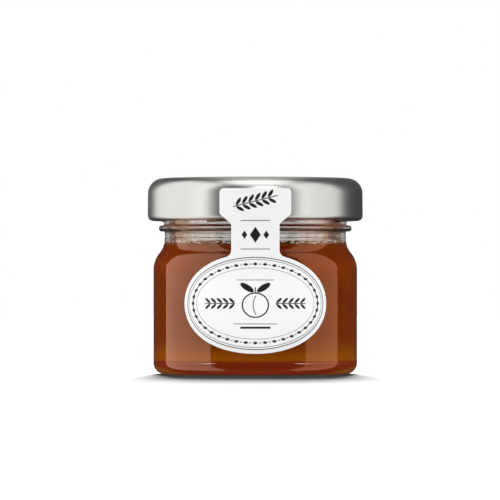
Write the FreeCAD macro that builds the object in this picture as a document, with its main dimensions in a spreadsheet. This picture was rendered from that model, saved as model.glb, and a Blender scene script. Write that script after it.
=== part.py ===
import FreeCAD, Part
import math
import os
import Sketcher
from FreeCAD import Vector

# A small jar of apricot jam: a pressed glass jar, the jam in it, a twist-off lid of thin sheet
# metal, and one die-cut paper label that runs from the side of the jar up onto the lid.
# The jar stands on Z = 0 with its axis on Z, and the label faces -Y.

# Driving sizes in millimetres, and in degrees where the note says so.
SIZES = [
    ("body_radius", 21.8, "outside of the jar's straight side"),
    ("body_top", 22.3, "level where the straight side ends"),
    ("heel_rounding", 2.4, "outer rounding between side and foot"),
    ("foot_width", 1.8, "flat ring that the jar stands on"),
    ("push_up", 2.6, "how far the middle of the underside is pushed up"),
    ("push_flat", 6.0, "radius of the flat middle of the underside"),
    ("push_softness", 25, "rounding between that flat and the slope round it"),
    ("glass_wall", 3.4, "side wall"),
    ("floor_edge", 1.85, "level at which the floor's slope would meet the wall"),
    ("floor_crown", 2.65, "how far the floor rises from there to its middle"),
    ("floor_flat", 6.0, "radius of the flat middle of the floor"),
    ("floor_softness", 20, "rounding between that flat and the slope round it"),
    ("floor_rounding", 3.0, "inner rounding between floor and wall"),
    ("shoulder_rounding", 5.7, "outward curve at the top of the side"),
    ("neck_rounding", 4.7, "inward curve at the foot of the neck"),
    ("shoulder_straight", 0.1, "allowance for the straight between those two curves"),
    ("neck_inset", 2.4, "how far the neck stands in from the side"),
    ("neck_wall", 3.0, "glass wall at the neck"),
    ("collar_height", 1.58, "plain neck between shoulder and bead"),
    ("bead_width", 1.26, "height of the bead round the neck"),
    ("bead_out", 1.06, "how far the bead stands out of the threaded neck"),
    ("bead_rounding", 0.55, "outer roundings of the bead"),
    ("bead_root", 0.2, "roundings where the bead meets the neck"),
    ("neck_swell", 0.16, "how much wider the neck is above the bead"),
    ("rim_outer_rounding", 1.3, "outer rounding of the rim"),
    ("rim_inner_rounding", 0.8, "inner rounding of the rim"),
    ("thread_out", 1.04, "how far a thread stands out of the neck"),
    ("thread_width", 0.9, "height of a thread's section"),
    ("thread_rounding", 0.35, "roundings at a thread's crest"),
    ("thread_root", 0.4, "how deep a thread's section starts inside the wall"),
    ("thread_lead", 6.2, "rise of a thread in a full turn"),
    ("thread_sweep", 100, "degrees that one thread covers"),
    ("thread_start", 60, "degrees from +X to the low end of the first thread"),
    ("thread_count", 4, "threads, and lugs that engage them"),
    ("headspace", 14.4, "from the rim down to the jam"),
    ("jam_clearance", 0.05, "between jam and glass"),
    ("meniscus_rise", 0.35, "how far the jam climbs at the glass"),
    ("meniscus_width", 1.6, "width of that climb"),
    ("lid_height", 9.1, "from the curled edge to the top"),
    ("bead_to_lid", 1.0, "gap between bead and curled edge"),
    ("sheet", 0.25, "thickness of the lid's metal"),
    ("seal_gap", 0.05, "between the rim and the lid"),
    ("lid_clearance", 0.2, "between thread crest and curled edge"),
    ("curl_rounding", 1.115, "outside radius of the curled edge"),
    ("curl_turn", 255, "degrees that the edge is curled"),
    ("skirt_flare", 0.08, "how much narrower the skirt is at the top"),
    ("crown_rounding", 3.25, "outer rounding between skirt and top"),
    ("panel_recess", 0.35, "how far the middle panel lies below the top ring"),
    ("panel_clearance", 0.6, "between the middle panel and the jar's mouth"),
    ("panel_slope", 0.7, "width of the slope round the panel"),
    ("panel_rounding", 0.5, "roundings at that slope"),
    ("lug_thickness", 0.5, "flattened metal of a lug"),
    ("lug_width", 4.8, "length of a lug round the jar"),
    ("lug_rounding", 0.8, "rounded corners of a lug"),
    ("lug_rise", 0.15, "lug above the lowest point of the curl"),
    ("lug_gap", 0.25, "between lug and neck"),
    ("lug_play", 0.1, "between lug and the underside of its thread"),
    ("lug_turn", 80, "degrees from a thread's low end to its lug"),
    ("label_gap", 0.03, "glue under the label"),
    ("label_thickness", 0.12, "paper"),
    ("label_bend", 6, "radius of the bends where the paper leaves the glass"),
    ("label_margin", 1.0, "uncut paper beyond the die-cut outline"),
    ("oval_width", 33.0, "the oval, measured round the jar"),
    ("oval_height", 21.2, "the oval, measured up the jar"),
    ("oval_level", 15.14, "level of the oval's middle"),
    ("strip_width", 10.28, "strip that bridges the neck"),
    ("strip_fillet", 1.5, "roundings where the strip meets the oval"),
    ("head_width", 15.4, "head of the label, measured round the lid"),
    ("head_drop", 0.83, "strip's upper end, below the curled edge"),
    ("head_rise", 1.22, "head's full width starts, above the curled edge"),
    ("head_reach", 6.62, "head's upper edge, above the curled edge"),
    ("head_rounding", 0.95, "upper corners of the head"),
]

# Radii and levels that follow from the driving sizes.
PLACES = [
    ("neck_radius", "Sizes.body_radius - Sizes.neck_inset"),
    ("finish_radius", "neck_radius + Sizes.neck_swell"),
    ("bead_radius", "finish_radius + Sizes.bead_out"),
    ("mouth_radius", "neck_radius - Sizes.neck_wall"),
    ("cavity_radius", "Sizes.body_radius - Sizes.glass_wall"),
    ("foot_inner", "Sizes.body_radius - Sizes.heel_rounding - Sizes.foot_width"),
    ("foot_level", "0"),
    ("turn", "acos(1 - Sizes.neck_inset / (Sizes.shoulder_rounding + Sizes.neck_rounding"
     " + Sizes.shoulder_straight))"),
    ("slope", "Sizes.neck_inset / sin(turn)"),
    ("shoulder_corner", "Sizes.body_top + Sizes.shoulder_rounding * tan(turn / 2)"),
    ("neck_corner", "shoulder_corner + slope * cos(turn)"),
    ("shoulder_end", "neck_corner + Sizes.neck_rounding * tan(turn / 2)"),
    ("inner_shoulder_rounding", "Sizes.shoulder_rounding - Sizes.glass_wall"),
    ("inner_neck_rounding", "Sizes.neck_rounding + Sizes.neck_wall"),
    ("inner_inset", "cavity_radius - mouth_radius"),
    ("inner_turn", "acos(1 - inner_inset / (inner_shoulder_rounding + inner_neck_rounding"
     " + Sizes.shoulder_straight))"),
    ("inner_slope", "inner_inset / sin(inner_turn)"),
    ("inner_shoulder_corner", "Sizes.body_top + inner_shoulder_rounding * tan(inner_turn / 2)"),
    ("inner_neck_corner", "inner_shoulder_corner + inner_slope * cos(inner_turn)"),
    ("floor_middle", "Sizes.floor_edge + Sizes.floor_crown"),
    ("bead_bottom", "shoulder_end + Sizes.collar_height"),
    ("bead_top", "bead_bottom + Sizes.bead_width"),
    ("lid_bottom", "bead_top + Sizes.bead_to_lid"),
    ("lid_top", "lid_bottom + Sizes.lid_height"),
    ("lid_underside", "lid_top - Sizes.sheet"),
    ("rim_top", "lid_underside - Sizes.seal_gap"),
    ("rim_flat_radius", "finish_radius - Sizes.rim_outer_rounding"),
    ("jam_level", "rim_top - Sizes.headspace"),
    ("jam_edge_level", "jam_level + Sizes.meniscus_rise"),
    ("jam_radius", "cavity_radius - Sizes.jam_clearance"),
    ("jam_mouth_radius", "mouth_radius - Sizes.jam_clearance"),
    ("jam_flat_radius", "mouth_radius - Sizes.meniscus_width"),
    ("jam_bottom", "Sizes.floor_edge + Sizes.jam_clearance"),
    ("jam_bottom_middle", "floor_middle + Sizes.jam_clearance"),
    ("crest_radius", "finish_radius + Sizes.thread_out"),
    ("root_radius", "finish_radius - Sizes.thread_root"),
    ("lug_low", "lid_bottom + Sizes.lug_rise"),
    ("lug_top", "lug_low + Sizes.lug_thickness"),
    ("lug_inner", "finish_radius + Sizes.lug_gap"),
    ("lug_half", "Sizes.lug_width / 2"),
    ("lug_half_turn", "asin(lug_half / lug_inner) / 1 deg"),
    ("thread_low", "lug_top + Sizes.lug_play"
     " - Sizes.thread_lead * (Sizes.lug_turn - lug_half_turn) / 360"),
    ("thread_high", "thread_low + Sizes.thread_width"),
    ("curl_inner", "crest_radius + Sizes.lid_clearance"),
    ("curl_middle", "curl_inner + Sizes.curl_rounding"),
    ("curl_level", "lid_bottom + Sizes.curl_rounding"),
    ("curl_hollow", "Sizes.curl_rounding - Sizes.sheet"),
    ("skirt_radius", "curl_middle + Sizes.curl_rounding"),
    ("skirt_inner", "skirt_radius - Sizes.sheet"),
    ("skirt_top", "skirt_radius - Sizes.skirt_flare"),
    ("skirt_top_inner", "skirt_top - Sizes.sheet"),
    ("crown_inner_rounding", "Sizes.crown_rounding - Sizes.sheet"),
    ("panel_radius", "mouth_radius - Sizes.panel_clearance - Sizes.panel_slope"),
    ("panel_edge", "panel_radius + Sizes.panel_slope"),
    ("panel_top", "lid_top - Sizes.panel_recess"),
    ("panel_underside", "panel_top - Sizes.sheet"),
    ("label_low", "Sizes.oval_level - Sizes.oval_height / 2 - Sizes.label_margin"),
    ("label_back", "Sizes.body_radius + Sizes.label_gap"),
    ("label_front", "label_back + Sizes.label_thickness"),
    ("head_back", "skirt_radius + Sizes.label_gap"),
    ("head_front", "head_back + Sizes.label_thickness"),
    ("head_top_back", "skirt_top + Sizes.label_gap"),
    ("head_top_front", "head_top_back + Sizes.label_thickness"),
    ("head_end", "skirt_top - Sizes.crown_rounding - Sizes.label_margin"),
    ("over_lid", "lid_top + Sizes.label_gap"),
    ("over_label", "over_lid + Sizes.label_thickness"),
    ("crown_back_rounding", "Sizes.crown_rounding + Sizes.label_gap"),
    ("crown_front_rounding", "crown_back_rounding + Sizes.label_thickness"),
]


def make_sheet(doc, name, rows):
    """A spreadsheet with one alias a row."""
    sheet = doc.addObject("Spreadsheet::Sheet", name)
    for number, row in enumerate(rows, 1):
        sheet.set("A%d" % number, row[0])
        sheet.set("B%d" % number, str(row[1]))
        sheet.setAlias("B%d" % number, row[0])
        sheet.set("C%d" % number, "".join(row[2:]))
    doc.recompute()
    return sheet


doc = FreeCAD.newDocument("JamJar")
sizes = make_sheet(doc, "Sizes", SIZES)
places = make_sheet(doc, "Places", [(alias, "=" + formula) for alias, formula in PLACES])


def cell(alias):
    """The expression that reads one alias, from whichever sheet holds it."""
    plain = alias.lstrip("-")
    sheet = sizes if sizes.getCellFromAlias(plain) else places
    return alias.replace(plain, sheet.Name + "." + plain)


def value(alias):
    """The number that an alias holds now."""
    plain = alias.lstrip("-")
    sheet = sizes if sizes.getCellFromAlias(plain) else places
    number = float(sheet.get(plain))
    return -number if alias.startswith("-") else number


def bind(sketch, constraint, name, alias):
    """Adds a driving dimension and ties it to the sheet."""
    index = sketch.addConstraint(constraint)
    sketch.renameConstraint(index, name)
    sketch.setExpression("Constraints." + name, cell(alias))


def new_sketch(body, name, role="XZ_Plane"):
    """A sketch on one of the body's own origin planes."""
    sketch = body.newObject("Sketcher::SketchObject", name)
    plane = [item for item in body.Origin.OriginFeatures if item.Role == role][0]
    sketch.AttachmentSupport = [(plane, "")]
    sketch.MapMode = "FlatFace"
    return sketch


def rounding_at(corner, before, after, radius):
    """Where a rounded corner starts and ends, and its arc's centre and sense of turn."""
    way_in = (corner - before).normalize()
    way_out = (after - corner).normalize()
    turn = math.atan2(way_in.cross(way_out).z, way_in.dot(way_out))
    side = math.copysign(1, turn)
    cut = radius * math.tan(abs(turn) / 2)
    start = corner - way_in * cut
    end = corner + way_out * cut
    centre = start + Vector(-way_in.y, way_in.x, 0) * (side * radius)
    return start, end, centre, side


def draw_outline(sketch, corners):
    """A closed outline of straight lines. Each corner names its place, and its rounding if any."""
    points = [Vector(value(c[0]) if c[0] else 0, value(c[1]), 0) for c in corners]
    count = len(corners)
    starts, ends, arcs = [], [], []
    for i, corner in enumerate(corners):
        start = end = points[i]
        arc = None
        if len(corner) == 3:
            radius = value(corner[2])
            start, end, centre, side = rounding_at(
                points[i], points[i - 1], points[(i + 1) % count], radius)
            circle = Part.Circle(centre, Vector(0, 0, 1), radius)
            first, last = (start, end) if side > 0 else (end, start)
            arc = (Part.ArcOfCircle(circle, circle.parameter(first), circle.parameter(last)), side)
        starts.append(start)
        ends.append(end)
        arcs.append(arc)
    lines = []
    for i in range(count):
        line = Part.LineSegment(ends[i], starts[(i + 1) % count])
        lines.append(sketch.addGeometry(line, False))
    for i, corner in enumerate(corners):
        before, after = lines[i - 1], lines[i]
        name = "corner%d" % (i + 1)
        if arcs[i]:
            curve, side = arcs[i]
            arc = sketch.addGeometry(curve, False)
            near, far = (1, 2) if side > 0 else (2, 1)
            sketch.addConstraint(Sketcher.Constraint("Tangent", before, 2, arc, near))
            sketch.addConstraint(Sketcher.Constraint("Tangent", arc, far, after, 1))
            bind(sketch, Sketcher.Constraint("Radius", arc, value(corner[2])), name + "_rounding",
                 corner[2])
            place = (sketch.addGeometry(Part.Point(points[i]), True), 1)
            sketch.addConstraint(Sketcher.Constraint("PointOnObject", *place, before))
            sketch.addConstraint(Sketcher.Constraint("PointOnObject", *place, after))
        else:
            place = (before, 2)
            sketch.addConstraint(Sketcher.Constraint("Coincident", before, 2, after, 1))
        if corner[0]:
            bind(sketch, Sketcher.Constraint("DistanceX", *place, points[i].x), name + "_out",
                 corner[0])
        else:
            sketch.addConstraint(Sketcher.Constraint("PointOnObject", *place, -2))
        bind(sketch, Sketcher.Constraint("DistanceY", *place, points[i].y), name + "_up", corner[1])


def new_body(name, label):
    """One sub-part; its label names its file."""
    body = doc.addObject("PartDesign::Body", name)
    body.Label = label
    return body


def turned(body, kind, name, corners):
    """Spins an outline about Z, to add metal, glass or jam or to cut it away."""
    sketch = new_sketch(body, name + "Outline")
    draw_outline(sketch, corners)
    doc.recompute()
    feature = body.newObject("PartDesign::" + kind, name)
    feature.Profile = (sketch, [""])
    feature.ReferenceAxis = (sketch, ["V_Axis"])
    feature.Angle = 360
    body.Tip = feature
    doc.recompute()
    return feature


def round_the_jar(body, feature, name, axis):
    """Repeats a feature once for each thread, about the axis that stands upright in its sketch."""
    pattern = body.newObject("PartDesign::PolarPattern", name)
    pattern.Originals = [feature]
    pattern.Axis = (feature.Profile[0], [axis])
    pattern.Angle = 360
    pattern.setExpression("Occurrences", cell("thread_count"))
    body.Tip = pattern
    doc.recompute()
    return pattern


def make_jar():
    """Thick pressed glass: a round body, an S-shaped shoulder and a neck with bead and threads."""
    body = new_body("GlassJar", "glass_jar")
    turned(body, "Revolution", "Blank", [
        (None, "push_up"),
        ("push_flat", "push_up", "push_softness"),
        ("foot_inner", "foot_level"),
        ("body_radius", "foot_level", "heel_rounding"),
        ("body_radius", "shoulder_corner", "shoulder_rounding"),
        ("neck_radius", "neck_corner", "neck_rounding"),
        ("neck_radius", "bead_bottom", "bead_root"),
        ("bead_radius", "bead_bottom", "bead_rounding"),
        ("bead_radius", "bead_top", "bead_rounding"),
        ("finish_radius", "bead_top", "bead_root"),
        ("finish_radius", "rim_top", "rim_outer_rounding"),
        (None, "rim_top"),
    ])
    turned(body, "Groove", "Cavity", [
        (None, "floor_middle"),
        ("floor_flat", "floor_middle", "floor_softness"),
        ("cavity_radius", "floor_edge", "floor_rounding"),
        ("cavity_radius", "inner_shoulder_corner", "inner_shoulder_rounding"),
        ("mouth_radius", "inner_neck_corner", "inner_neck_rounding"),
        ("mouth_radius", "rim_top", "rim_inner_rounding"),
        ("rim_flat_radius", "rim_top"),
        ("rim_flat_radius", "lid_top"),
        (None, "lid_top"),
    ])
    add_threads(body)
    return body


def add_threads(body):
    """Ridges that climb to the right round the neck; each starts where the one before ends."""
    sketch = new_sketch(body, "ThreadSection")
    draw_outline(sketch, [
        ("root_radius", "thread_low"),
        ("crest_radius", "thread_low", "thread_rounding"),
        ("crest_radius", "thread_high", "thread_rounding"),
        ("root_radius", "thread_high"),
    ])
    sketch.AttachmentOffset = FreeCAD.Placement(Vector(), Vector(0, 1, 0), 0)
    sketch.setExpression("AttachmentOffset.Rotation.Angle", cell("thread_start"))
    doc.recompute()
    thread = body.newObject("PartDesign::AdditiveHelix", "Thread")
    thread.Profile = sketch
    thread.ReferenceAxis = (sketch, ["V_Axis"])
    thread.Mode = "pitch-turns-angle"
    thread.setExpression("Pitch", cell("thread_lead"))
    thread.setExpression("Turns", cell("thread_sweep") + " / 360")
    doc.recompute()
    round_the_jar(body, thread, "Threads", "V_Axis")


def make_jam():
    """The jam fills the jar up to its level and climbs a little where it meets the glass."""
    body = new_body("ApricotJam", "apricot_jam")
    turned(body, "Revolution", "Fill", [
        (None, "jam_bottom_middle"),
        ("floor_flat", "jam_bottom_middle", "floor_softness"),
        ("jam_radius", "jam_bottom", "floor_rounding"),
        ("jam_radius", "inner_shoulder_corner", "inner_shoulder_rounding"),
        ("jam_mouth_radius", "inner_neck_corner", "inner_neck_rounding"),
        ("jam_mouth_radius", "rim_top"),
        (None, "rim_top"),
    ])
    turned(body, "Groove", "Surface", [
        (None, "jam_level"),
        ("jam_flat_radius", "jam_level", "meniscus_width"),
        ("mouth_radius", "jam_edge_level", "meniscus_rise"),
        ("body_radius", "jam_edge_level"),
        ("body_radius", "lid_top"),
        (None, "lid_top"),
    ])
    return body


def make_lid():
    """Pressed sheet metal with a rolled edge, part of which is flattened into lugs."""
    body = new_body("TwistLid", "twist_lid")
    turned(body, "Revolution", "Shell", [
        (None, "panel_top"),
        ("panel_radius", "panel_top", "panel_rounding"),
        ("panel_edge", "lid_top", "panel_rounding"),
        ("skirt_top", "lid_top", "crown_rounding"),
        ("skirt_radius", "curl_level"),
        ("skirt_inner", "curl_level"),
        ("skirt_top_inner", "lid_underside", "crown_inner_rounding"),
        ("panel_edge", "lid_underside", "panel_rounding"),
        ("panel_radius", "panel_underside", "panel_rounding"),
        (None, "panel_underside"),
    ])
    add_curl(body)
    add_lugs(body)
    return body


def add_curl(body):
    """The raw edge is rolled inwards until it nearly closes on itself."""
    sketch = new_sketch(body, "CurlSection")
    centre = Vector(value("curl_middle"), value("curl_level"), 0)
    last = math.radians(360 - value("curl_turn"))
    arcs, tips = [], []
    for alias in ("curl_rounding", "curl_hollow"):
        circle = Part.Circle(centre, Vector(0, 0, 1), value(alias))
        arc = Part.ArcOfCircle(circle, last, 2 * math.pi)
        arcs.append(sketch.addGeometry(arc, False))
        tips.append((arc.StartPoint, arc.EndPoint))
        bind(sketch, Sketcher.Constraint("Radius", arcs[-1], value(alias)), alias, alias)
    outer, inner = arcs
    open_end = sketch.addGeometry(Part.LineSegment(tips[0][0], tips[1][0]), False)
    skirt_end = sketch.addGeometry(Part.LineSegment(tips[0][1], tips[1][1]), False)
    sketch.addConstraint([
        Sketcher.Constraint("Coincident", outer, 3, inner, 3),
        Sketcher.Constraint("Coincident", outer, 1, open_end, 1),
        Sketcher.Constraint("Coincident", inner, 1, open_end, 2),
        Sketcher.Constraint("Coincident", outer, 2, skirt_end, 1),
        Sketcher.Constraint("Coincident", inner, 2, skirt_end, 2),
        Sketcher.Constraint("Horizontal", skirt_end),
        Sketcher.Constraint("PointOnObject", outer, 3, skirt_end),
        Sketcher.Constraint("PointOnObject", outer, 3, open_end),
    ])
    bind(sketch, Sketcher.Constraint("DistanceX", outer, 3, centre.x), "curl_middle", "curl_middle")
    bind(sketch, Sketcher.Constraint("DistanceY", outer, 3, centre.y), "curl_level", "curl_level")
    index = sketch.addConstraint(
        Sketcher.Constraint("Angle", skirt_end, 2, open_end, 2, 2 * math.pi - last))
    sketch.renameConstraint(index, "curl_turn")
    sketch.setExpression("Constraints.curl_turn", cell("curl_turn"))
    doc.recompute()
    curl = body.newObject("PartDesign::Revolution", "Curl")
    curl.Profile = (sketch, [""])
    curl.ReferenceAxis = (sketch, ["V_Axis"])
    curl.Angle = 360
    body.Tip = curl
    doc.recompute()


def add_lugs(body):
    """Tongues of flattened edge that reach in under the threads and hold the lid down."""
    sketch = new_sketch(body, "LugOutline", "XY_Plane")
    draw_outline(sketch, [
        ("lug_inner", "-lug_half", "lug_rounding"),
        ("curl_middle", "-lug_half"),
        ("curl_middle", "lug_half"),
        ("lug_inner", "lug_half", "lug_rounding"),
    ])
    sketch.setExpression("AttachmentOffset.Base.z", cell("lug_low"))
    sketch.setExpression("AttachmentOffset.Rotation.Angle",
                         cell("thread_start") + " + " + cell("lug_turn"))
    doc.recompute()
    lug = body.newObject("PartDesign::Pad", "Lug")
    lug.Profile = (sketch, [""])
    lug.setExpression("Length", cell("lug_thickness"))
    body.Tip = lug
    doc.recompute()
    round_the_jar(body, lug, "Lugs", "N_Axis")


def label_outline():
    """The die-cut outline seen square on: an oval wrapped round the jar, a strip and a head."""
    radius = value("label_front")
    half_width = value("oval_width") / 2
    half_height = value("oval_height") / 2
    level = value("oval_level")
    oval_points = 48
    oval = []
    for point in range(oval_points):
        angle = 2 * math.pi * point / oval_points
        round_jar = half_width * math.cos(angle) / radius
        oval.append(Vector(radius * math.sin(round_jar), 0, level + half_height * math.sin(angle)))
    curve = Part.BSplineCurve()
    curve.interpolate(oval, PeriodicFlag=True)
    strip = radius * math.sin(value("strip_width") / 2 / radius)
    head = value("head_front") * math.sin(value("head_width") / 2 / value("head_front"))
    edge = value("lid_bottom")
    right = [(strip, level), (strip, edge - value("head_drop")), (head, edge + value("head_rise")),
             (head, edge + value("head_reach"))]
    corners = [Vector(x, 0, z) for x, z in right]
    corners += [Vector(-x, 0, z) for x, z in reversed(right)]
    strip_face = Part.Face(Part.makePolygon(corners + corners[:1]))
    oval_face = Part.Face(Part.Wire(curve.toShape()))
    return oval_face.fuse(strip_face).removeSplitter()


def rounded_edges(prism, level, above):
    """The prism's edges along Y that pass through corners in a band of levels."""
    found = []
    for edge in prism.Edges:
        ends = [vertex.Point for vertex in edge.Vertexes]
        along = len(ends) == 2 and abs((ends[0] - ends[1]).y) > 1
        if along and level < ends[0].z < above:
            found.append(edge)
    return found


def make_label():
    """One piece of paper: oval on the glass, strip across the neck, head on the lid's skirt."""
    sheet = new_body("LabelSheet", "label_sheet")
    turned(sheet, "Revolution", "Paper", [
        ("label_back", "label_low"),
        ("label_back", "body_top", "label_bend"),
        ("head_back", "curl_level", "label_bend"),
        ("head_top_back", "over_lid", "crown_back_rounding"),
        ("head_end", "over_lid"),
        ("head_end", "over_label"),
        ("head_top_front", "over_label", "crown_front_rounding"),
        ("head_front", "curl_level", "label_bend"),
        ("label_front", "body_top", "label_bend"),
        ("label_front", "label_low"),
    ])
    prism = label_outline().extrude(Vector(0, -2 * value("body_radius"), 0))
    top = value("lid_bottom") + value("head_reach")
    near = 0.1
    upper = rounded_edges(prism, top - near, top + near)
    prism = prism.makeFillet(value("head_rounding"), upper)
    junction = rounded_edges(prism, value("oval_level"), value("bead_bottom"))
    prism = prism.makeFillet(value("strip_fillet"), junction)
    cutter = doc.addObject("Part::Feature", "LabelCutter")
    cutter.Label = "label_cutter"
    cutter.Shape = prism
    label = doc.addObject("Part::Common", "PaperLabel")
    label.Label = "paper_label"
    label.Base = sheet
    label.Tool = cutter
    doc.recompute()
    return label


def check(parts):
    """Stops before anything is written if an object failed or a sub-part is not a sound solid."""
    for item in doc.Objects:
        if "Invalid" in item.State or "Error" in item.State:
            raise RuntimeError("%s failed to build" % item.Label)
        if item.isDerivedFrom("Sketcher::SketchObject") and item.solve() != 0:
            raise RuntimeError("%s has a sketch that does not solve" % item.Label)
    for part in parts:
        if part.Shape.isNull() or not part.Shape.isValid():
            raise RuntimeError("%s has no sound shape" % part.Label)
        box = part.Shape.BoundBox
        print("%-12s solids %d  volume %9.2f  box %.2f..%.2f %.2f..%.2f %.2f..%.2f" % (
            part.Label, len(part.Shape.Solids), part.Shape.Volume, box.XMin, box.XMax,
            box.YMin, box.YMax, box.ZMin, box.ZMax))


parts = [make_jar(), make_jam(), make_lid(), make_label()]
doc.recompute()
check(parts)
os.makedirs("parts", exist_ok=True)
for part in parts:
    part.Shape.exportStep("parts/%s.step" % part.Label)
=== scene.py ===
import math
import random

import bpy
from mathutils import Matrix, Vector


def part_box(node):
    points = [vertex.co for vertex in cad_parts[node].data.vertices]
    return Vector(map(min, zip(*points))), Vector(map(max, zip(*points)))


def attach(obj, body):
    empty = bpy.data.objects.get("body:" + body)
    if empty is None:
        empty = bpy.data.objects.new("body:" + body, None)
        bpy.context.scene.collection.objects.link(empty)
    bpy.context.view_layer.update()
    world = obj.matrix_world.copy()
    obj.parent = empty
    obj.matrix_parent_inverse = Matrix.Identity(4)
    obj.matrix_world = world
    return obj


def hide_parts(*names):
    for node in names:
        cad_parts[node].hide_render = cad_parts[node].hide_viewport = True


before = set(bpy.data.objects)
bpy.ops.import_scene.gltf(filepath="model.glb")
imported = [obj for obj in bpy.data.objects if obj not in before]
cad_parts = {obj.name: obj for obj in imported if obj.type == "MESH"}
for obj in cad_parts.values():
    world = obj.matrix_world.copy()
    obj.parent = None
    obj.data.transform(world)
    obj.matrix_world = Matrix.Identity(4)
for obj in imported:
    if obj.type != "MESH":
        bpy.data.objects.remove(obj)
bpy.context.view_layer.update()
mm = 0.001

# ---------------------------------------------------------------------------------------------
# The jar. It is pressed in one piece from clear soda glass, thick at the wall and the foot, with
# a soft S-shaped shoulder, a bead round the neck and four threads for the lid. It stands on a
# narrow ring round its pushed-up underside, and carries everything else.
_, jar_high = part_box("glass_jar")
body_radius = jar_high.x
rim_top = jar_high.z
body_top = 22.3 * mm
glass_wall = 3.4 * mm
floor_level = 1.85 * mm
floor_middle = 4.5 * mm
floor_flat = 6.0 * mm
floor_softness = 20 * mm
floor_rounding = 3.0 * mm
push_up = 2.6 * mm
push_radius = 6.0 * mm
push_softness = 25 * mm
foot_inner = 17.6 * mm
foot_rounding = 2.4 * mm
neck_inset = 2.4 * mm
neck_radius = body_radius - neck_inset
finish_radius = neck_radius + 0.16 * mm
bead_radius = finish_radius + 1.06 * mm
mouth_radius = neck_radius - 3.0 * mm
cavity_radius = body_radius - glass_wall
inside_top = 30 * mm
parting_level = 29.0 * mm
parting_rise = 0.07 * mm
bead_bottom = 30.53 * mm
bead_top = bead_bottom + 1.26 * mm
bead_rounding = 0.55 * mm
bead_root = 0.2 * mm
rim_outer_rounding = 1.3 * mm
rim_inner_rounding = 0.8 * mm
shoulder_rounding = 5.7 * mm
neck_rounding = 4.7 * mm


def s_curve(wide, narrow, lower, upper, level):
    """Two corners of an S-shaped shoulder between a wide and a narrow radius, from a level up."""
    turn = math.acos(1 - (wide - narrow) / (lower + upper + 0.1 * mm))
    first = level + lower * math.tan(turn / 2)
    second = first + (wide - narrow) / math.tan(turn)
    return [(wide, first, lower), (narrow, second, upper)]


def rounded_path(corners, step=math.radians(5)):
    """Points of an outline, given as corners (across, up) or (across, up, rounding)."""
    path = []
    for i, corner in enumerate(corners):
        here = Vector(corner[:2])
        if len(corner) == 2:
            path.append(here)
            continue
        way_in = (here - Vector(corners[i - 1][:2])).normalized()
        way_out = (Vector(corners[(i + 1) % len(corners)][:2]) - here).normalized()
        turn = math.atan2(way_in.cross(way_out), way_in.dot(way_out))
        side = math.copysign(corner[2], turn)
        start = here - way_in * (corner[2] * math.tan(abs(turn) / 2))
        centre = start + Vector((-way_in.y, way_in.x)) * side
        count = max(2, math.ceil(abs(turn) / step))
        for k in range(count + 1):
            angle = turn * k / count
            spoke = start - centre
            path.append(centre + Vector((spoke.x * math.cos(angle) - spoke.y * math.sin(angle),
                                         spoke.x * math.sin(angle) + spoke.y * math.cos(angle))))
    return path


def draw(name, path):
    """Draws an outline in the XZ plane by extruding one corner of a plane from point to point."""
    bpy.ops.object.select_all(action="DESELECT")
    bpy.ops.mesh.primitive_plane_add(size=mm)
    piece = bpy.context.object
    piece.name = piece.data.name = name
    bpy.ops.object.mode_set(mode="EDIT")
    bpy.ops.mesh.select_mode(type="VERT")
    bpy.ops.mesh.select_all(action="SELECT")
    bpy.ops.mesh.merge(type="CENTER")
    bpy.ops.transform.translate(value=(path[0].x, 0, path[0].y))
    for before, after in zip(path, path[1:]):
        step = after - before
        bpy.ops.mesh.extrude_region_move(TRANSFORM_OT_translate={"value": (step.x, 0, step.y)})
    return piece


def close_up(piece, crease=35):
    """Merges doubles, turns the faces outwards and smooths all but the sharp edges."""
    bpy.ops.mesh.select_all(action="SELECT")
    bpy.ops.mesh.remove_doubles(threshold=0.001 * mm)
    bpy.ops.mesh.normals_make_consistent(inside=False)
    bpy.ops.object.mode_set(mode="OBJECT")
    bpy.ops.object.shade_smooth_by_angle(angle=math.radians(crease))
    return piece


def spun(name, path, steps=180):
    """An outline spun once round the jar's axis."""
    piece = draw(name, path)
    bpy.ops.mesh.select_all(action="SELECT")
    bpy.ops.mesh.spin(steps=steps, angle=math.tau, center=(0, 0, 0), axis=(0, 0, 1))
    return close_up(piece)


def apply_modifier(piece, kind, **settings):
    """Adds one modifier with its settings and applies it."""
    bpy.ops.object.select_all(action="DESELECT")
    piece.select_set(True)
    bpy.context.view_layer.objects.active = piece
    modifier = piece.modifiers.new(kind.title(), kind)
    for key, setting in settings.items():
        setattr(modifier, key, setting)
    bpy.ops.object.modifier_apply(modifier=modifier.name)


jar_outside = rounded_path([
    (0, push_up),
    (push_radius, push_up, push_softness),
    (foot_inner, 0),
    (body_radius, 0, foot_rounding),
    *s_curve(body_radius, neck_radius, shoulder_rounding, neck_rounding, body_top),
    (neck_radius, parting_level),
    (neck_radius + parting_rise, parting_level + parting_rise),
    (neck_radius, parting_level + 2 * parting_rise),
    (neck_radius, bead_bottom, bead_root),
    (bead_radius, bead_bottom, bead_rounding),
    (bead_radius, bead_top, bead_rounding),
    (finish_radius, bead_top, bead_root),
    (finish_radius, rim_top, rim_outer_rounding),
    (mouth_radius, rim_top, rim_inner_rounding),
    (mouth_radius, inside_top),
])
inner_shoulder = s_curve(cavity_radius, mouth_radius, shoulder_rounding - glass_wall,
                         neck_rounding + 3.0 * mm, body_top)
cavity = rounded_path([
    (0, floor_middle),
    (floor_flat, floor_middle, floor_softness),
    (cavity_radius, floor_level, floor_rounding),
    *inner_shoulder,
    (mouth_radius, inside_top),
])
jar = spun("jar", jar_outside + cavity[::-1])

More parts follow.
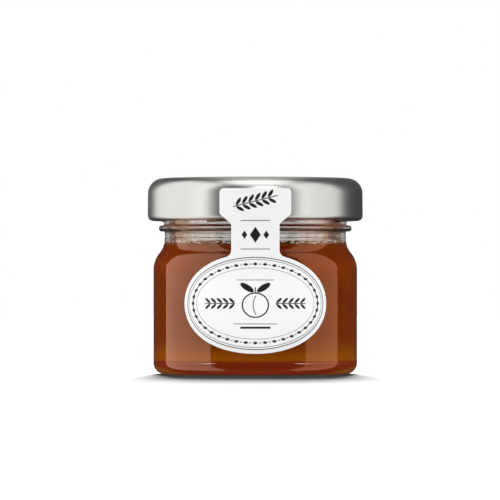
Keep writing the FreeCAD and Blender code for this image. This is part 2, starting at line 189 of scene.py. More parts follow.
# The four threads are alike, a quarter turn apart, and are joined to the neck one by one.
thread_low = 32.3 * mm
thread_width = 0.9 * mm
thread_sweep = math.radians(100)
thread_lead = 6.2 * mm
thread_rounding = 0.35 * mm
thread_start = 60
thread_root = finish_radius - 0.3 * mm
crest_radius = finish_radius + 1.04 * mm


def make_thread():
    """One thread: its section climbs round the neck, with its root inside the wall."""
    section = rounded_path([
        (thread_root, thread_low),
        (crest_radius, thread_low, thread_rounding),
        (crest_radius, thread_low + thread_width, thread_rounding),
        (thread_root, thread_low + thread_width),
    ], step=math.radians(30))
    thread = draw("thread", section)
    bpy.ops.mesh.select_all(action="SELECT")
    bpy.ops.mesh.edge_face_add()
    bpy.ops.mesh.delete(type="ONLY_FACE")
    bpy.ops.object.mode_set(mode="OBJECT")
    apply_modifier(thread, "SCREW", angle=thread_sweep, axis="Z", steps=60, render_steps=60,
                   screw_offset=thread_lead * thread_sweep / math.tau)
    bpy.ops.object.mode_set(mode="EDIT")
    bpy.ops.mesh.select_mode(type="EDGE")
    bpy.ops.mesh.select_all(action="DESELECT")
    bpy.ops.mesh.select_non_manifold()
    bpy.ops.mesh.fill_holes(sides=0)
    bpy.ops.object.mode_set(mode="OBJECT")
    return thread


threads = [make_thread()]
for turn in range(1, 4):
    copy = threads[0].copy()
    copy.data = threads[0].data.copy()
    bpy.context.collection.objects.link(copy)
    threads.append(copy)
for turn, thread in enumerate(threads):
    bpy.ops.object.select_all(action="DESELECT")
    thread.select_set(True)
    bpy.context.view_layer.objects.active = thread
    bpy.ops.object.mode_set(mode="EDIT")
    bpy.ops.mesh.select_all(action="SELECT")
    bpy.ops.transform.rotate(value=-math.radians(thread_start + 90 * turn), orient_axis="Z",
                             center_override=(0, 0, 0))
    close_up(thread)
    apply_modifier(jar, "BOOLEAN", operation="UNION", object=thread, solver="EXACT")
    bpy.data.objects.remove(thread)
bpy.ops.object.shade_smooth_by_angle(angle=math.radians(35))


def new_material(name):
    """An empty material with its shader and output; returns the nodes and their links too."""
    material = bpy.data.materials.new(name)
    material.use_nodes = True
    return material, material.node_tree.nodes, material.node_tree.links


def give(piece, material):
    """Gives a piece its material and lets it ride on the part."""
    piece.data.materials.clear()
    piece.data.materials.append(material)
    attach(piece, "root")


# Clear glass, very slightly uneven from the mould.
glass, nodes, links = new_material("clear_glass")
shader = nodes["Principled BSDF"]
shader.inputs["IOR"].default_value = 1.52
shader.inputs["Transmission Weight"].default_value = 1.0
place = nodes.new("ShaderNodeTexCoord")
ripple = nodes.new("ShaderNodeTexNoise")
ripple.inputs["Scale"].default_value = 90
ripple.inputs["Detail"].default_value = 2
dent = nodes.new("ShaderNodeBump")
dent.inputs["Strength"].default_value = 0.15
dent.inputs["Distance"].default_value = 0.1 * mm
links.new(place.outputs["Object"], ripple.inputs["Vector"])
links.new(ripple.outputs["Fac"], dent.inputs["Height"])
links.new(dent.outputs["Normal"], shader.inputs["Normal"])

# Over the jam the inside of the neck is misted by a thin film of jam and water.
mist_level = 26.6 * mm
mist_reach = mouth_radius + 0.4 * mm
split = nodes.new("ShaderNodeSeparateXYZ")
links.new(place.outputs["Object"], split.inputs["Vector"])
flat_place = nodes.new("ShaderNodeCombineXYZ")
links.new(split.outputs["X"], flat_place.inputs["X"])
links.new(split.outputs["Y"], flat_place.inputs["Y"])
from_axis = nodes.new("ShaderNodeVectorMath")
from_axis.operation = "LENGTH"
links.new(flat_place.outputs["Vector"], from_axis.inputs[0])
inner_wall = nodes.new("ShaderNodeMath")
inner_wall.operation = "LESS_THAN"
inner_wall.inputs[1].default_value = mist_reach
links.new(from_axis.outputs["Value"], inner_wall.inputs[0])
over_jam = nodes.new("ShaderNodeMath")
over_jam.operation = "GREATER_THAN"
over_jam.inputs[1].default_value = mist_level
links.new(split.outputs["Z"], over_jam.inputs[0])
misted = nodes.new("ShaderNodeMath")
misted.operation = "MULTIPLY"
links.new(inner_wall.outputs["Value"], misted.inputs[0])
links.new(over_jam.outputs["Value"], misted.inputs[1])
stretch = nodes.new("ShaderNodeMapping")
stretch.inputs["Scale"].default_value = (1, 1, 0.15)
runs = nodes.new("ShaderNodeTexNoise")
runs.inputs["Scale"].default_value = 1500
runs.inputs["Detail"].default_value = 3
links.new(place.outputs["Object"], stretch.inputs["Vector"])
links.new(stretch.outputs["Vector"], runs.inputs["Vector"])
run_tone = nodes.new("ShaderNodeValToRGB")
run_tone.color_ramp.elements[0].position = 0.38
run_tone.color_ramp.elements[0].color = (0.64, 0.61, 0.57, 1)
run_tone.color_ramp.elements[1].position = 0.62
run_tone.color_ramp.elements[1].color = (0.94, 0.92, 0.89, 1)
links.new(runs.outputs["Fac"], run_tone.inputs["Fac"])
film = nodes.new("ShaderNodeMix")
film.data_type = "RGBA"
film.inputs["A"].default_value = (0.97, 0.985, 0.975, 1)
links.new(run_tone.outputs["Color"], film.inputs["B"])
links.new(misted.outputs["Value"], film.inputs["Factor"])
links.new(film.outputs["Result"], shader.inputs["Base Color"])
haze = nodes.new("ShaderNodeMath")
haze.operation = "MULTIPLY"
haze.inputs[1].default_value = 0.12
links.new(misted.outputs["Value"], haze.inputs[0])
links.new(haze.outputs["Value"], shader.inputs["Roughness"])
give(jar, glass)
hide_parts("glass_jar")

# ---------------------------------------------------------------------------------------------
# The jam. Apricot jam is a clear amber gel clouded by fine fruit pulp. It fills the jar to a
# little under the bead, wets the glass all round and climbs it slightly at its edge.
_, jam_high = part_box("apricot_jam")
wall_grip = 0.06 * mm
jam_edge = jam_high.z - 0.2 * mm
meniscus_rise = 0.15 * mm
meniscus_width = 0.6 * mm
meniscus_reach = 4 * mm
meniscus_steps = 11
jam_side = rounded_path([
    (0, floor_middle - wall_grip),
    (floor_flat, floor_middle - wall_grip, floor_softness),
    (cavity_radius + wall_grip, floor_level - wall_grip, floor_rounding),
    *[(r + wall_grip, z, rounding) for r, z, rounding in inner_shoulder],
    (mouth_radius + wall_grip, inside_top),
])
jam_side = [point for point in jam_side if point.y < jam_edge - 0.05 * mm]
edge_radius = jam_side[-1].x - 0.1 * mm
jam_surface = []
for k in range(meniscus_steps + 1):
    inward = meniscus_reach * (k / meniscus_steps) ** 2
    climb = meniscus_rise * math.exp(-inward / meniscus_width)
    jam_surface.append(Vector((edge_radius - inward, jam_edge - meniscus_rise + climb)))
jam_surface.append(Vector((0, jam_edge - meniscus_rise)))
jam = spun("jam", jam_side + jam_surface)

gel, nodes, links = new_material("apricot_gel")
shader = nodes["Principled BSDF"]
shader.inputs["Roughness"].default_value = 0.15
shader.inputs["IOR"].default_value = 1.42
shader.inputs["Specular IOR Level"].default_value = 0.0
shader.inputs["Subsurface Weight"].default_value = 1.0
shader.inputs["Subsurface Radius"].default_value = (1.0, 0.35, 0.05)
shader.inputs["Subsurface Scale"].default_value = 8 * mm
place = nodes.new("ShaderNodeTexCoord")
pulp = nodes.new("ShaderNodeTexNoise")
pulp.inputs["Scale"].default_value = 180
pulp.inputs["Detail"].default_value = 4
tone = nodes.new("ShaderNodeValToRGB")
tone.color_ramp.elements[0].position = 0.35
tone.color_ramp.elements[0].color = (0.27, 0.040, 0.0006, 1)
tone.color_ramp.elements[1].position = 0.68
tone.color_ramp.elements[1].color = (0.33, 0.058, 0.0008, 1)
split = nodes.new("ShaderNodeSeparateXYZ")
links.new(place.outputs["Object"], pulp.inputs["Vector"])
links.new(place.outputs["Object"], split.inputs["Vector"])
links.new(pulp.outputs["Fac"], tone.inputs["Fac"])

# Painted light: the gel is coloured brighter towards its top, where the label and the lid shade it,
# and lighter and greener towards the floor, where little light reaches it from below.
upper = nodes.new("ShaderNodeMapRange")
upper.interpolation_type = "SMOOTHSTEP"
upper.inputs["From Min"].default_value = 20 * mm
upper.inputs["From Max"].default_value = 26 * mm
# painted light: the gel's colour is brighter towards its top
painted_top_light = nodes.new("ShaderNodeMix")
painted_top_light.data_type = "RGBA"
painted_top_light.inputs["B"].default_value = (0.38, 0.062, 0.001, 1)
links.new(split.outputs["Z"], upper.inputs["Value"])
links.new(upper.outputs["Result"], painted_top_light.inputs["Factor"])
links.new(tone.outputs["Color"], painted_top_light.inputs["A"])
lower = nodes.new("ShaderNodeMapRange")
lower.interpolation_type = "SMOOTHSTEP"
lower.inputs["From Min"].default_value = 9 * mm
lower.inputs["From Max"].default_value = 3.5 * mm
# painted light: the gel's colour is lighter and greener towards the floor
painted_floor_light = nodes.new("ShaderNodeMix")
painted_floor_light.data_type = "RGBA"
painted_floor_light.inputs["B"].default_value = (0.35, 0.097, 0.001, 1)
links.new(split.outputs["Z"], lower.inputs["Value"])
links.new(lower.outputs["Result"], painted_floor_light.inputs["Factor"])
links.new(painted_top_light.outputs["Result"], painted_floor_light.inputs["A"])

# Painted shade: near the floor and the wall the jam is coloured redder and darker, for how its
# underside looks through the thick foot of the jar.
flat_place = nodes.new("ShaderNodeCombineXYZ")
links.new(split.outputs["X"], flat_place.inputs["X"])
links.new(split.outputs["Y"], flat_place.inputs["Y"])
from_axis = nodes.new("ShaderNodeVectorMath")
from_axis.operation = "LENGTH"
links.new(flat_place.outputs["Vector"], from_axis.inputs[0])
within = nodes.new("ShaderNodeMapRange")
within.inputs["From Min"].default_value = cavity_radius - 1.1 * mm
within.inputs["From Max"].default_value = cavity_radius - 1.7 * mm
links.new(from_axis.outputs["Value"], within.inputs["Value"])
near_floor = nodes.new("ShaderNodeMath")
near_floor.operation = "LESS_THAN"
near_floor.inputs[1].default_value = 8 * mm
links.new(split.outputs["Z"], near_floor.inputs[0])
underside = nodes.new("ShaderNodeMath")
underside.operation = "MULTIPLY"
links.new(within.outputs["Result"], underside.inputs[0])
links.new(near_floor.outputs["Value"], underside.inputs[1])
# painted shade: the gel's colour is darker and redder at its underside near the wall
painted_foot_shade = nodes.new("ShaderNodeMix")
painted_foot_shade.data_type = "RGBA"
painted_foot_shade.inputs["B"].default_value = (0.25, 0.026, 0.004, 1)
links.new(underside.outputs["Value"], painted_foot_shade.inputs["Factor"])
links.new(painted_floor_light.outputs["Result"], painted_foot_shade.inputs["A"])
links.new(painted_foot_shade.outputs["Result"], shader.inputs["Base Color"])
give(jam, gel)
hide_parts("apricot_jam")

# ---------------------------------------------------------------------------------------------
# Droplets. Water has settled as fine drops on the inside of the neck, and the froth of filling
# has left small bubbles where the jam's surface meets the glass.
random.seed(7)
bpy.ops.object.select_all(action="DESELECT")
bpy.ops.mesh.primitive_uv_sphere_add(segments=8, ring_count=6, radius=0.1 * mm)
drops = bpy.context.object
drops.name = drops.data.name = "droplets"
bpy.ops.object.mode_set(mode="EDIT")
bpy.ops.mesh.select_mode(type="VERT")
bpy.ops.mesh.select_all(action="SELECT")
bpy.ops.mesh.delete(type="VERT")


def scatter(count, doublings, lowest, highest, smallest, largest):
    """Adds drops on the neck's inside between two levels, then doubles them round the jar."""
    bpy.ops.mesh.select_all(action="DESELECT")
    bpy.ops.mesh.hide(unselected=True)
    for _ in range(count):
        size = random.uniform(smallest, largest)
        turn = random.uniform(0, math.tau)
        reach = mouth_radius - 0.2 * size
        where = (reach * math.cos(turn), reach * math.sin(turn), random.uniform(lowest, highest))
        bpy.ops.mesh.primitive_uv_sphere_add(segments=8, ring_count=6, radius=size, location=where)
    for _ in range(doublings):
        bpy.ops.mesh.select_all(action="SELECT")
        bpy.ops.mesh.duplicate()
        bpy.ops.transform.rotate(value=random.uniform(0, math.tau), orient_axis="Z",
                                 center_override=(0, 0, 0))
        bpy.ops.transform.translate(value=(0, 0, random.uniform(-0.15, 0.15) * mm))
    bpy.ops.mesh.reveal(select=False)


scatter(34, 4, jam_edge + 0.2 * mm, jam_edge + 1.2 * mm, 0.08 * mm, 0.21 * mm)
scatter(22, 4, parting_level + 0.1 * mm, parting_level + 0.9 * mm, 0.06 * mm, 0.17 * mm)
scatter(8, 4, 31.5 * mm, 38 * mm, 0.08 * mm, 0.22 * mm)
bpy.ops.object.mode_set(mode="OBJECT")
bpy.ops.object.shade_smooth()

# Water drops, coloured pale and given a faint glow of their own, as painted glints.
water, nodes, links = new_material("condensed_water")
shader = nodes["Principled BSDF"]
# painted glint: the drops' pale colour
shader.inputs["Base Color"].default_value = (0.97, 0.95, 0.92, 1)
shader.inputs["Roughness"].default_value = 0.05
shader.inputs["IOR"].default_value = 1.33
shader.inputs["Transmission Weight"].default_value = 0.15
# painted glow: the drops give off a faint light though they are no lamp
shader.inputs["Emission Color"].default_value = (1.0, 0.96, 0.92, 1)
shader.inputs["Emission Strength"].default_value = 0.1
give(drops, water)
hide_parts("apricot_jam")

# ---------------------------------------------------------------------------------------------
# The lid. It is drawn from thin tinplate with a satin silver lacquer: a flat top with a slightly
# sunk panel, a rounded crown, and a raw edge that is curled in and flattened into four lugs.
# The lugs reach in under the threads and hold it down on the rim.
lid_low, lid_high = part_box("twist_lid")
skirt_radius = lid_high.x
skirt_top = skirt_radius - 0.08 * mm
lid_top = lid_high.z
sheet = 0.25 * mm
curl_radius = 1.115 * mm
curl_middle = Vector((skirt_radius - curl_radius, lid_low.z + curl_radius))
curl_turn = math.radians(255)
crown_rounding = 3.25 * mm
panel_radius = 15.1 * mm
panel_edge = 15.8 * mm
panel_rounding = 0.5 * mm
panel_top = lid_top - 0.35 * mm


def curl(radius, angles):
    """Points round the curled edge."""
    return [curl_middle + Vector((radius * math.cos(a), radius * math.sin(a))) for a in angles]


curl_steps = 36
curl_angles = [-curl_turn * k / curl_steps for k in range(curl_steps + 1)]
lid_outside = rounded_path([
    (0, panel_top),
    (panel_radius, panel_top, panel_rounding),
    (panel_edge, lid_top, panel_rounding),
    (skirt_top, lid_top, crown_rounding),
    (skirt_radius, curl_middle.y),
])
lid_inside = rounded_path([
    (skirt_radius - sheet, curl_middle.y),
    (skirt_top - sheet, lid_top - sheet, crown_rounding - sheet),
    (panel_edge, lid_top - sheet, panel_rounding),
    (panel_radius, panel_top - sheet, panel_rounding),
    (0, panel_top - sheet),
])
curled = curl(curl_radius, curl_angles[1:]) + curl(curl_radius - sheet, curl_angles[:0:-1])
lid = spun("lid", lid_outside + curled + lid_inside, steps=240)

lug_inner = finish_radius + 0.25 * mm
lug_length = curl_middle.x - lug_inner
lug_width = 4.8 * mm
lug_thickness = 0.5 * mm
lug_rounding = 0.12 * mm
lug_level = 33.19 * mm
lug_start = 140
for quarter in range(4):
    bpy.ops.object.select_all(action="DESELECT")
    bpy.ops.mesh.primitive_cube_add(size=1)
    lug = bpy.context.object
    bpy.ops.object.mode_set(mode="EDIT")
    bpy.ops.transform.resize(value=(lug_length, lug_width, lug_thickness))
    bpy.ops.mesh.bevel(offset=lug_rounding, segments=3, affect="EDGES")
    bpy.ops.transform.translate(value=(lug_inner + lug_length / 2, 0, lug_level))
    bpy.ops.transform.rotate(value=-math.radians(lug_start + 90 * quarter), orient_axis="Z",
                             center_override=(0, 0, 0))
    close_up(lug)
    apply_modifier(lid, "BOOLEAN", operation="UNION", object=lug, solver="EXACT")
    bpy.data.objects.remove(lug)
bpy.ops.object.shade_smooth_by_angle(angle=math.radians(35))

# Satin silver lacquer with a fine tooth, a trace lighter and duller from grain to grain.
lacquer, nodes, links = new_material("satin_lacquer")
shader = nodes["Principled BSDF"]
shader.inputs["Metallic"].default_value = 1.0
place = nodes.new("ShaderNodeTexCoord")
grain = nodes.new("ShaderNodeTexNoise")
grain.inputs["Scale"].default_value = 2400
grain.inputs["Detail"].default_value = 3
links.new(place.outputs["Object"], grain.inputs["Vector"])
silver = nodes.new("ShaderNodeValToRGB")
silver.color_ramp.elements[0].position = 0.35
silver.color_ramp.elements[0].color = (0.755, 0.795, 0.845, 1)
silver.color_ramp.elements[1].position = 0.65
silver.color_ramp.elements[1].color = (0.805, 0.845, 0.895, 1)
links.new(grain.outputs["Fac"], silver.inputs["Fac"])
links.new(silver.outputs["Color"], shader.inputs["Base Color"])
satin = nodes.new("ShaderNodeMapRange")
satin.inputs["From Min"].default_value = 0.35
satin.inputs["From Max"].default_value = 0.65
satin.inputs["To Min"].default_value = 0.28
satin.inputs["To Max"].default_value = 0.32
links.new(grain.outputs["Fac"], satin.inputs["Value"])
links.new(satin.outputs["Result"], shader.inputs["Roughness"])
tooth = nodes.new("ShaderNodeBump")
tooth.inputs["Strength"].default_value = 0.08
tooth.inputs["Distance"].default_value = 0.05 * mm
links.new(grain.outputs["Fac"], tooth.inputs["Height"])
links.new(tooth.outputs["Normal"], shader.inputs["Normal"])
give(lid, lacquer)
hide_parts("twist_lid")

# ---------------------------------------------------------------------------------------------
# The label. It is one die-cut piece of coated white paper, glued round the side of the jar,
# carried straight up across the neck and glued to the lid, so that it tears on opening.
label_low, label_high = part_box("paper_label")
paper = 0.12 * mm
oval_width = 33.0 * mm
oval_height = 21.2 * mm
oval_level = 15.14 * mm
strip_half = 5.14 * mm
head_half = 7.7 * mm
strip_root = 1.5 * mm
corner = 0.8 * mm
strip_top = lid_low.z - 0.83 * mm
head_bottom = lid_low.z + 1.22 * mm
head_top = label_high.z
lowest = math.radians(-90)
last = math.acos((strip_half + strip_root) / (oval_width / 2))
oval_steps = 40
half_oval = []
for k in range(oval_steps + 1):
    angle = lowest + (last - lowest) * k / oval_steps
    half_oval.append((oval_width / 2 * math.cos(angle),
                      oval_level + oval_height / 2 * math.sin(angle)))
junction = oval_level + oval_height / 2 * math.sqrt(1 - (2 * strip_half / oval_width) ** 2)
label_edge = rounded_path(half_oval + [
    (strip_half, junction, strip_root),
    (strip_half, strip_top, corner),
    (head_half, head_bottom, corner),
    (head_half, head_top, 0.95 * mm),
    (0, head_top),
])
label_edge[0].x = 0
label = draw("label", label_edge)
bpy.ops.mesh.select_all(action="SELECT")
bpy.ops.mesh.edge_face_add()

# Cuts up and across the flat sheet let it bend smoothly when it is wrapped round.
upright_cuts, upright_gap = 33, 0.5 * mm
level_cuts, level_gap = 60, 0.6 * mm
for k in range(1, upright_cuts + 1):
    bpy.ops.mesh.select_all(action="SELECT")
    bpy.ops.mesh.bisect(plane_co=(k * upright_gap, 0, 0), plane_no=(1, 0, 0))
for k in range(level_cuts):
    bpy.ops.mesh.select_all(action="SELECT")
    bpy.ops.mesh.bisect(plane_co=(0, 0, label_low.z + (k + 0.5) * level_gap),
                        plane_no=(0, 0, 1))
bpy.ops.object.mode_set(mode="OBJECT")
apply_modifier(label, "MIRROR", use_axis=(True, False, False), merge_threshold=0.01 * mm)

# The print lies on a map of the flat sheet, forty millimetres each way.
map_side = 40
flat = label.data.uv_layers.new(name="flat")
for loop in label.data.loops:
    point = label.data.vertices[loop.vertex_index].co
    flat.data[loop.index].uv = (point.x / mm / map_side + 0.5, point.z / mm / map_side)

glue = 0.04 * mm
bridge_rounding = 6 * mm
profile = rounded_path([
    (body_radius + glue, 0),
    (body_radius + glue, body_top, bridge_rounding),
    (skirt_radius + glue, curl_middle.y, bridge_rounding),
    (skirt_top + glue, lid_top + glue, crown_rounding + glue),
    (0, lid_top),
], step=math.radians(2))


def paper_radius(level):
    """How far the paper's back lies from the jar's axis at a level."""
    for below, above in zip(profile, profile[1:]):
        if below.y <= level <= above.y and above.y > below.y:
            return below.x + (above.x - below.x) * (level - below.y) / (above.y - below.y)
    return profile[-1].x


for vertex in label.data.vertices:
    radius = paper_radius(vertex.co.z)
    round_jar = vertex.co.x / radius
    vertex.co = (radius * math.sin(round_jar), -radius * math.cos(round_jar), vertex.co.z)
apply_modifier(label, "SOLIDIFY", thickness=paper - 0.01 * mm, offset=1)
bpy.ops.object.mode_set(mode="EDIT")
close_up(label)

# Coated white stock with a faint tooth, printed in one black.
stock, nodes, links = new_material("label_paper")
shader = nodes["Principled BSDF"]
shader.inputs["Roughness"].default_value = 0.4
place = nodes.new("ShaderNodeTexCoord")
fibre = nodes.new("ShaderNodeTexNoise")
fibre.inputs["Scale"].default_value = 3200
fibre.inputs["Detail"].default_value = 2
tooth = nodes.new("ShaderNodeBump")
tooth.inputs["Strength"].default_value = 0.15
tooth.inputs["Distance"].default_value = 0.03 * mm
links.new(place.outputs["Object"], fibre.inputs["Vector"])
links.new(fibre.outputs["Fac"], tooth.inputs["Height"])
links.new(tooth.outputs["Normal"], shader.inputs["Normal"])


def work(operation, *values):
    """One sum of the print: the values are numbers or earlier sums, all in millimetres."""
    node = nodes.new("ShaderNodeMath")
    node.operation = operation
    for socket, value in zip(node.inputs, values):
        if isinstance(value, (int, float)):
            socket.default_value = value
        else:
            links.new(value, socket)
    return node.outputs["Value"]


def length_of(across, up):
    """How long a step across and up is."""
    return work("SQRT", work("ADD", work("MULTIPLY", across, across), work("MULTIPLY", up, up)))


def oval(across, up, half_width, half_height):
    """How far a place lies outside an oval."""
    reach = length_of(work("DIVIDE", across, half_width), work("DIVIDE", up, half_height))
    return work("MULTIPLY", work("SUBTRACT", reach, 1), min(half_width, half_height))


def bar(across, up, half_width, half_height):
    """How far a place lies outside a bar."""
    return work("MAXIMUM", work("SUBTRACT", work("ABSOLUTE", across), half_width),
                work("SUBTRACT", work("ABSOLUTE", up), half_height))


def lozenge(across, up, half_width, half_height):
    """How far a place lies outside a lozenge."""
    reach = work("ADD", work("DIVIDE", work("ABSOLUTE", across), half_width),
                 work("DIVIDE", work("ABSOLUTE", up), half_height))
    return work("MULTIPLY", work("SUBTRACT", reach, 1), min(half_width, half_height) * 0.8)


def line(distance, half_width):
    """The line where a distance is nought."""
    return work("SUBTRACT", work("ABSOLUTE", distance), half_width)


def tilted(across, up, degrees):
    """The two coordinates turned by an angle."""
    c, s = math.cos(math.radians(degrees)), math.sin(math.radians(degrees))
    return (work("ADD", work("MULTIPLY", across, c), work("MULTIPLY", up, s)),
            work("SUBTRACT", work("MULTIPLY", up, c), work("MULTIPLY", across, s)))


sheet_map = nodes.new("ShaderNodeUVMap")
sheet_map.uv_map = "flat"
sheet_split = nodes.new("ShaderNodeSeparateXYZ")
links.new(sheet_map.outputs["UV"], sheet_split.inputs["Vector"])
across = work("MULTIPLY", work("SUBTRACT", sheet_split.outputs["X"], 0.5), map_side)
level = work("MULTIPLY", sheet_split.outputs["Y"], map_side)
side = work("ABSOLUTE", across)
up = work("SUBTRACT", level, oval_level / mm)

# Three fine lines follow the oval's edge, with a ring of beads between the inner two.
half_across, half_up = oval_width / mm / 2, oval_height / mm / 2
squared = work("ADD", work("POWER", work("DIVIDE", side, half_across), 2),
               work("POWER", work("ABSOLUTE", work("DIVIDE", up, half_up)), 2))
slope = length_of(work("DIVIDE", side, half_across ** 2), work("DIVIDE", up, half_up ** 2))
inside = work("DIVIDE", work("SUBTRACT", 1, squared), work("MULTIPLY", slope, 2))
marks = [
    line(work("SUBTRACT", inside, 0.95), 0.10),
    line(work("SUBTRACT", inside, 1.45), 0.06),
    line(work("SUBTRACT", inside, 3.75), 0.06),
]

angle = work("ARCTAN2", work("DIVIDE", up, half_up), work("DIVIDE", across, half_across))
beads = 40
turn_part = work("MULTIPLY", angle, beads / math.tau)
stretch = length_of(work("MULTIPLY", work("SINE", angle), half_across - 2.6),
                    work("MULTIPLY", work("COSINE", angle), half_up - 2.6))
for shift, shape in ((0.5, lozenge), (0.0, oval)):
    cell = work("SUBTRACT", work("FRACT", work("ADD", turn_part, shift + beads)), 0.5)
    along = work("MULTIPLY", work("MULTIPLY", cell, math.tau / beads), stretch)
    depth = work("SUBTRACT", inside, 2.6)
    marks.append(lozenge(along, depth, 0.62, 0.46) if shape is lozenge
                 else oval(along, depth, 0.17, 0.17))

# In the middle is a fruit with two leaves.
fruit_up = work("SUBTRACT", up, -0.35)
fruit = oval(across, fruit_up, 2.75, 2.55)
seam = line(work("SUBTRACT", length_of(work("SUBTRACT", across, 3.3), fruit_up), 3.75), 0.09)
marks.append(line(fruit, 0.14))
marks.append(work("MAXIMUM", seam, work("ADD", fruit, 0.5)))
leaf_across, leaf_up = tilted(work("SUBTRACT", side, 1.75), work("SUBTRACT", up, 3.35), 32)
marks.append(oval(leaf_across, leaf_up, 1.65, 0.62))
marks.append(bar(across, work("SUBTRACT", up, 2.75), 0.12, 0.65))

# A sprig lies on each side of it.
sprig_start, leaf_gap, leaf_pairs = 4.3, 1.35, 5
steps_out = work("DIVIDE", work("SUBTRACT", side, sprig_start), leaf_gap)
leaf_part = work("MULTIPLY", work("SUBTRACT", work("FRACT", steps_out), 0.5), leaf_gap)
sprig_leaf = oval(*tilted(work("SUBTRACT", leaf_part, 0.05),
                          work("SUBTRACT", work("ABSOLUTE", up), 0.62), 42), 0.78, 0.27)
half_sprig = leaf_gap * leaf_pairs / 2
along_sprig = work("SUBTRACT", side, sprig_start + half_sprig)
marks.append(work("MAXIMUM", sprig_leaf, bar(along_sprig, up, half_sprig, 2)))
marks.append(bar(along_sprig, up, half_sprig, 0.09))

# Plain rules and lozenges fill the oval and the strip.
for height, half_width, half_height in ((-4.3, 4.6, 0.07), (-5.1, 3.2, 0.22), (4.95, 3.9, 0.07)):
    marks.append(bar(across, work("SUBTRACT", up, height), half_width, half_height))
for height, half_width, half_height in ((32.6, 3.1, 0.08), (26.6, 3.1, 0.08)):
    marks.append(bar(across, work("SUBTRACT", level, height), half_width, half_height))
marks.append(lozenge(across, work("SUBTRACT", level, 29.6), 1.15, 1.7))
marks.append(lozenge(work("SUBTRACT", side, 2.3), work("SUBTRACT", level, 29.6), 0.6, 0.9))

# A larger sprig lies across the head, tilted a little.
head_gap = 1.4
head_across, head_up = tilted(across, work("SUBTRACT", level, 36.7), 14)
head_steps = work("DIVIDE", work("ADD", head_across, 30 * head_gap), head_gap)
head_part = work("MULTIPLY", work("SUBTRACT", work("FRACT", head_steps), 0.5), head_gap)
head_leaf = oval(*tilted(head_part, work("SUBTRACT", work("ABSOLUTE", head_up), 0.78), 42),
                 0.95, 0.34)
marks.append(work("MAXIMUM", head_leaf, bar(head_across, head_up, 4.2, 2)))
marks.append(bar(head_across, head_up, 4.9, 0.1))

# Wherever the nearest mark reaches, the paper carries ink.
nearest = marks[0]
for mark in marks[1:]:
    nearest = work("MINIMUM", nearest, mark)
edge = nodes.new("ShaderNodeMapRange")
edge.inputs["From Min"].default_value = -0.03
edge.inputs["From Max"].default_value = 0.03
edge.inputs["To Min"].default_value = 1.0
edge.inputs["To Max"].default_value = 0.0
links.new(nearest, edge.inputs["Value"])
ink = nodes.new("ShaderNodeMix")
ink.data_type = "RGBA"
ink.inputs["A"].default_value = (0.82, 0.84, 0.845, 1)
ink.inputs["B"].default_value = (0.012, 0.012, 0.013, 1)
links.new(edge.outputs["Result"], ink.inputs["Factor"])
links.new(ink.outputs["Result"], shader.inputs["Base Color"])
give(label, stock)
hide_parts("paper_label")

# ---------------------------------------------------------------------------------------------
# The studio. A plain floor keeps the jar's shadow and a white surround goes all round. Tall soft
# lights stand at both sides, one hangs overhead, and small cards brighten the lid and the label.
# A long lens looks on almost level from the label's side.
bpy.ops.object.select_all(action="DESELECT")
bpy.ops.mesh.primitive_plane_add(size=6)
floor = bpy.context.object
floor.name = "floor"
white, nodes, links = new_material("white_floor")
shader = nodes["Principled BSDF"]
shader.inputs["Base Color"].default_value = (0.06, 0.06, 0.06, 1)
shader.inputs["Roughness"].default_value = 1.0
shader.inputs["Specular IOR Level"].default_value = 0.0
floor.data.materials.append(white)
floor.visible_glossy = False
floor.visible_transmission = False

# The surround is white to the eye. Metal and glass see it darker, so that their edges stay
# clear, and through the glass it is bright before and behind the jar and warm at its sides.
world = bpy.data.worlds.new("surround")
bpy.context.scene.world = world
world.use_nodes = True
nodes, links = world.node_tree.nodes, world.node_tree.links
room = nodes["Background"]
room.inputs["Color"].default_value = (1, 1, 1, 1)
ray = nodes.new("ShaderNodeLightPath")
way = nodes.new("ShaderNodeTexCoord")
way_split = nodes.new("ShaderNodeSeparateXYZ")
links.new(way.outputs["Generated"], way_split.inputs["Vector"])
to_wall = work("ABSOLUTE", way_split.outputs["Y"])
wall = nodes.new("ShaderNodeMapRange")
wall.interpolation_type = "SMOOTHSTEP"
wall.inputs["From Min"].default_value = 0.90
wall.inputs["From Max"].default_value = 0.98
wall.inputs["To Min"].default_value = 0.0
wall.inputs["To Max"].default_value = 1.0
links.new(to_wall, wall.inputs["Value"])
fill_light = 0.9
gloss_light = 0.03


def choose(flag, when_true, when_false):
    """One of two strengths, by a flag of nought or one."""
    return work("ADD", work("MULTIPLY", flag, when_true),
                work("MULTIPLY", work("SUBTRACT", 1, flag), when_false))


lit = work("GREATER_THAN", ray.outputs["Diffuse Depth"], 0.5)
leftward = work("MAXIMUM", work("MULTIPLY", way_split.outputs["X"], -1), 0)
rightward = work("MAXIMUM", way_split.outputs["X"], 0)
jam_light = work("ADD", work("ADD", 0.85, work("MULTIPLY", leftward, 0.5)),
                 work("MULTIPLY", rightward, 0.35))
facing = wall.outputs["Result"]
through_glass = choose(lit, jam_light, work("ADD", work("MULTIPLY", facing, 0.60), 0.18))
other = choose(ray.outputs["Is Glossy Ray"], gloss_light, fill_light)
unseen = choose(ray.outputs["Is Transmission Ray"], through_glass, other)
links.new(choose(ray.outputs["Is Camera Ray"], 1, unseen), room.inputs["Strength"])
sideways = work("MULTIPLY", work("SUBTRACT", 1, facing), work("SUBTRACT", 1, lit))
room_tint = nodes.new("ShaderNodeMix")
room_tint.data_type = "RGBA"
room_tint.inputs["A"].default_value = (1, 1, 1, 1)
room_tint.inputs["B"].default_value = (1.0, 0.52, 0.30, 1)
warm = work("MULTIPLY", sideways, ray.outputs["Is Transmission Ray"])
links.new(warm, room_tint.inputs["Factor"])
links.new(room_tint.outputs["Result"], room.inputs["Color"])


def only_for(box, *pieces):
    """Lets a light fall on some pieces only."""
    lit_pieces = bpy.data.collections.new(box.name + "_for")
    for piece in pieces:
        lit_pieces.objects.link(piece)
    box.light_linking.receiver_collection = lit_pieces


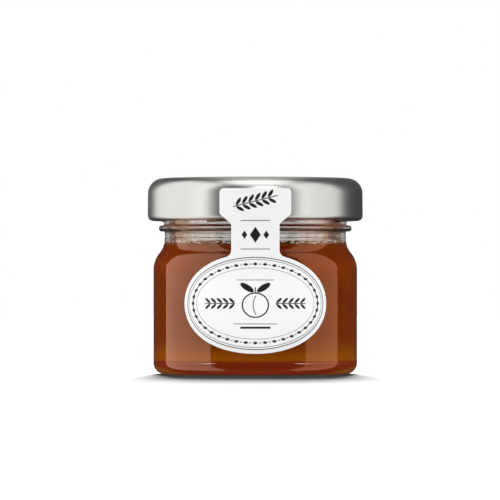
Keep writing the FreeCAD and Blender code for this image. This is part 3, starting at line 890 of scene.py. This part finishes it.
def soft_light(name, azimuth, elevation, distance, width, height, radiance, tint=(1.0, 0.93, 0.83),
               aside=0):
    """A soft box that faces the jar, or is slid aside in its own plane; azimuth 90 is the right."""
    a, e = math.radians(azimuth), math.radians(elevation)
    lamp = bpy.data.lights.new(name, "AREA")
    lamp.shape = "RECTANGLE"
    lamp.size, lamp.size_y = width, height
    lamp.energy = radiance * math.pi * width * height
    lamp.color = tint
    box = bpy.data.objects.new(name, lamp)
    bpy.context.collection.objects.link(box)
    away = Vector((math.sin(a) * math.cos(e), -math.cos(a) * math.cos(e), math.sin(e)))
    box.location = away * distance + Vector((math.cos(a), math.sin(a), 0)) * aside
    box.rotation_mode = "QUATERNION"
    box.rotation_quaternion = away.to_track_quat("Z", "Y")
    box.visible_camera = False
    box.visible_transmission = False
    return box


# Two warm panels are mirrored in the glass as a pale veil on each side.
veil_left = soft_light("veil_left", -50, 0, 0.35, 1.0, 1.40, 2.4, (1.0, 0.64, 0.45), -0.50)
veil_right = soft_light("veil_right", 50, 0, 0.35, 0.46, 1.40, 2.2, (1.0, 0.46, 0.24), 0.272)
for veil in (veil_left, veil_right):
    only_for(veil, jar, drops)

# Boxes and cards for the lid; the two side boxes also light the label and the jam.
only_for(soft_light("left_box", -92, 0, 0.62, 1.16, 2.3, 0.95), lid, label, jam)
only_for(soft_light("left_strip", -57, 10, 0.60, 0.17, 1.6, 0.35), lid)
only_for(soft_light("right_box", 78, 0, 0.64, 0.60, 2.3, 0.85), lid, label, jam)
only_for(soft_light("right_card", 49, 0, 0.62, 0.16, 1.6, 0.9), lid)
only_for(soft_light("top_box", 8, 76, 0.8, 0.60, 0.62, 1.4), lid)

# A card just before the foot lifts the lower half of the label.
low_card = soft_light("low_card", 0, 0, 0.045, 0.05, 0.032, 1.5, (1.0, 0.98, 0.96))
low_card.visible_glossy = False
only_for(low_card, label)

# Two cards brighten the crown over the label, from the front and from behind.
only_for(soft_light("front_card", 11, 27, 0.7, 0.26, 0.48, 2.4), lid)
only_for(soft_light("back_card", 180, 56, 0.9, 0.32, 0.7, 0.48), lid)

# Light from behind, at four heights, draws the shadow towards the camera and fades it there.
for name, height, strength in (("sun_1", 18, 49), ("sun_2", 23, 39), ("sun_3", 29, 31),
                                ("sun_4", 38, 24)):
    sun = bpy.data.lights.new(name, "SUN")
    sun.energy = strength
    sun.angle = math.radians(12)
    behind = bpy.data.objects.new(name, sun)
    bpy.context.collection.objects.link(behind)
    behind.rotation_euler = (math.radians(height - 90), 0, 0)
    only_for(behind, floor)

# The camera stands a little over a metre away, low, and looks slightly up.
aside_by, away_by, seat_height, look_height = -0.00113, 1.22, 0.0178, 0.02655
camera = bpy.data.cameras.new("camera")
camera.lens = 410
camera.sensor_width = 36
seat = bpy.data.objects.new("camera", camera)
bpy.context.collection.objects.link(seat)
seat.location = (aside_by, -away_by, seat_height)
target = Vector((aside_by, 0, look_height))
seat.rotation_mode = "QUATERNION"
seat.rotation_quaternion = (target - seat.location).to_track_quat("-Z", "Y")
bpy.context.scene.camera = seat
bpy.context.scene.view_settings.view_transform = "Standard"
